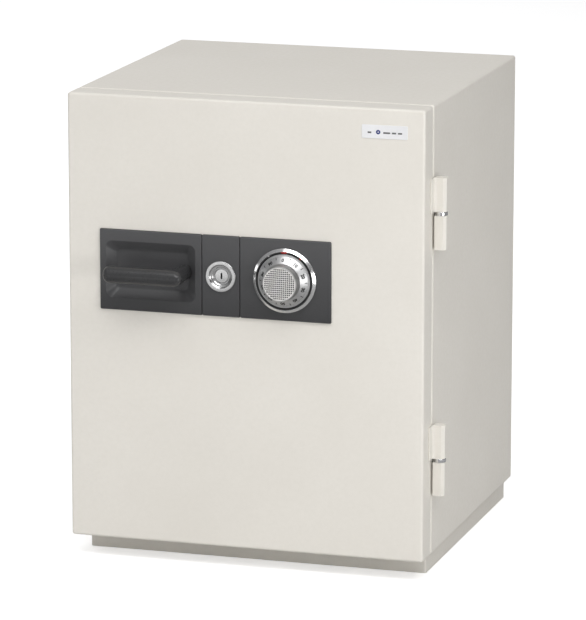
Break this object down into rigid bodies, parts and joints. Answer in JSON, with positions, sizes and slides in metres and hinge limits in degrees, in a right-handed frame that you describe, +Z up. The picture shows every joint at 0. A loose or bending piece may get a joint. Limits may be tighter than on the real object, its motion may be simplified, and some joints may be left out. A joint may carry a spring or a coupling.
{
  "type": "fire-resistant office safe",
  "caption": "Insulated upright office safe on a plinth, with a side-hinged door, recessed turn-down lever, key lock and combination dial set in dark plates.",
  "frame": {"origin": "middle of the plinth's flat underside, on the ground", "axes": "+Z up, -Y out of the door's face, +X towards the hinges"},
  "size_m": [0.4997, 0.508, 0.6225],
  "materials": {
    "cabinet_paint": "satin",
    "inner_paint": "satin",
    "plate_plastic": "satin",
    "handle_plastic": "satin",
    "bright_chrome": "polished",
    "satin_chrome": "satin",
    "dial_steel": "satin",
    "index_black": "satin",
    "zinc_steel": "satin",
    "hard_steel": "satin",
    "brass": "satin",
    "zinc_cast": "satin",
    "seal_rubber": "matte",
    "mineral_fill": "matte",
    "badge_face": "satin"
  },
  "bodies": {
    "cabinet": {"outer_shell": "cabinet_paint", "back_panel": "cabinet_paint", "plinth": "cabinet_paint", "cabinet_insulation": "mineral_fill", "jamb_frame": "cabinet_paint", "inner_liner": "inner_paint", "frame_seal": "seal_rubber", "bolt_keeper": "zinc_steel", "shelf_rails": "zinc_steel", "shelf_clips": "zinc_steel", "shelf": "inner_paint", "upper_body_knuckle": "cabinet_paint", "lower_body_knuckle": "cabinet_paint", "upper_hinge_pin": "hard_steel", "lower_hinge_pin": "hard_steel", "upper_hinge_washer": "bright_chrome", "lower_hinge_washer": "bright_chrome"},
    "door": {"door_skin": "cabinet_paint", "door_back_plate": "cabinet_paint", "door_insulation": "mineral_fill", "plug_pan": "inner_paint", "plug_insulation": "mineral_fill", "back_cover": "inner_paint", "back_cover_screws": "zinc_steel", "bolt_guide": "zinc_steel", "dead_bar": "hard_steel", "plug_seal": "seal_rubber", "lining_tubes": "zinc_steel", "upper_door_knuckle": "cabinet_paint", "lower_door_knuckle": "cabinet_paint", "handle_plate": "plate_plastic", "key_plate": "plate_plastic", "dial_plate": "plate_plastic", "badge": "badge_face", "handle_bushes": "brass", "key_escutcheon": "satin_chrome", "cylinder_body": "satin_chrome", "key_bolt_guide": "zinc_cast", "dial_bezel": "bright_chrome", "index_ring": "index_black", "lock_case": "zinc_cast", "lock_cover": "zinc_steel", "wheel_post": "brass"},
    "lever": {"handle": "handle_plastic", "handle_shaft": "hard_steel", "handle_crank": "hard_steel", "shaft_clip": "hard_steel"},
    "boltwork": {"bolt_carriage": "zinc_steel", "locking_bolts": "bright_chrome"},
    "key_cylinder": {"key_plug": "satin_chrome", "key_cam": "hard_steel"},
    "key_lock_bolt": {"key_bolt": "zinc_steel"},
    "dial": {"dial_flange": "satin_chrome", "dial_knob": "satin_chrome", "dial_cap": "dial_steel", "dial_spindle": "hard_steel", "drive_cam": "brass"},
    "wheel_pack": {"combination_wheels": "brass"},
    "dial_lock_bolt": {"lock_bolt": "brass"}
  },
  "joints": [
    {"name": "door_hinge", "type": "hinge", "parent": "cabinet", "child": "door", "pos_m": [0.2505, -0.208, 0.319], "axis": [0, 0, 1], "range_deg": [0, 170]},
    {"name": "lever_turn", "type": "hinge", "parent": "door", "child": "lever", "pos_m": [-0.0836, -0.231, 0.3918], "axis": [0, -1, 0], "range_deg": [0, 60]},
    {"name": "bolt_slide", "type": "slide", "parent": "door", "child": "boltwork", "axis": [-1, 0, 0], "range_m": [0, 0.014]},
    {"name": "key_turn", "type": "hinge", "parent": "door", "child": "key_cylinder", "pos_m": [-0.031, -0.231, 0.3918], "axis": [0, -1, 0], "range_deg": [0, 90]},
    {"name": "key_bolt_slide", "type": "slide", "parent": "door", "child": "key_lock_bolt", "axis": [0, 0, 1], "range_m": [0, 0.00849]},
    {"name": "dial_turn", "type": "hinge", "parent": "door", "child": "dial", "pos_m": [0.056, -0.231, 0.3918], "axis": [0, -1, 0], "continuous": true},
    {"name": "wheel_turn", "type": "hinge", "parent": "door", "child": "wheel_pack", "pos_m": [0.056, -0.205, 0.3918], "axis": [0, -1, 0], "continuous": true},
    {"name": "dial_bolt_slide", "type": "slide", "parent": "door", "child": "dial_lock_bolt", "axis": [0, 0, 1], "range_m": [0, 0.008]}
  ],
  "couplings": [
    {"joint": "bolt_slide", "follows": "lever_turn", "m_per_rad": 0.013369},
    {"joint": "key_bolt_slide", "follows": "key_turn", "m_per_rad": 0.0054019},
    {"joint": "wheel_turn", "follows": "dial_turn", "ratio": 1}
  ]
}
